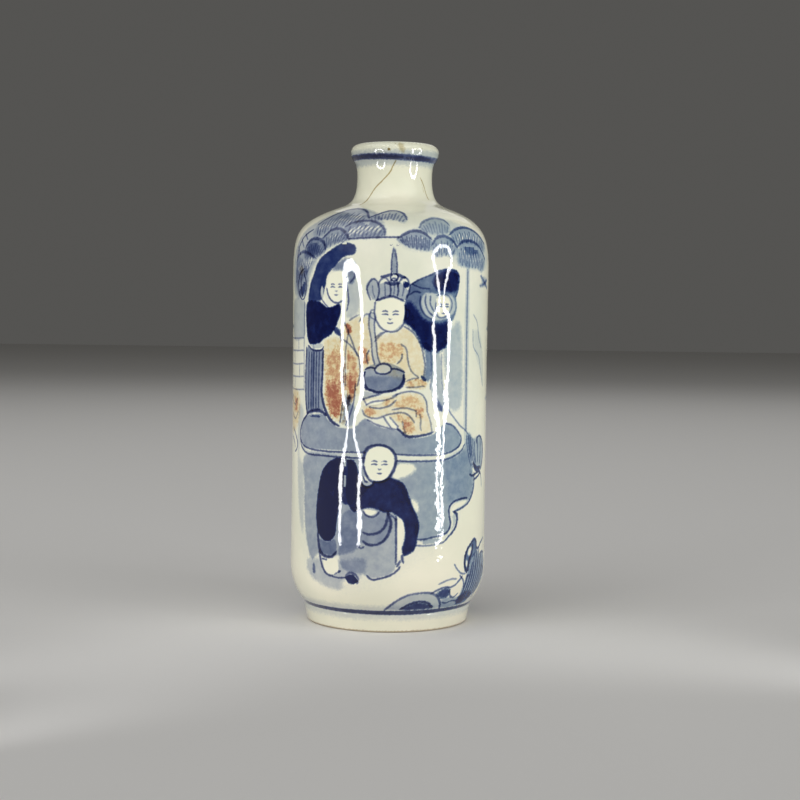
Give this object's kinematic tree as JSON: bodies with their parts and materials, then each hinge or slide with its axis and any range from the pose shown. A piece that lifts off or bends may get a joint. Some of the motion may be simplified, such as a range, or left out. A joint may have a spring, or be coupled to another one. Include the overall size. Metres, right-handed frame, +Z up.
{
  "type": "snuff bottle",
  "caption": "Small cylindrical glazed porcelain bottle with rounded shoulder, short waisted neck, rolled lip and foot ring, painted with robed figures and pine in blue and copper red.",
  "frame": {"origin": "centre of the foot ring's standing plane", "axes": "+Z up along the bottle's axis, from the foot to the mouth; -Y is the side with the seated figure"},
  "size_m": [0.0338, 0.0338, 0.082],
  "materials": {
    "porcelain": "glossy cream-white glaze over underglaze blue and copper-red painting, bare clay on the foot rim"
  },
  "bodies": {
    "root": {"bottle": "porcelain"}
  },
  "joints": []
}
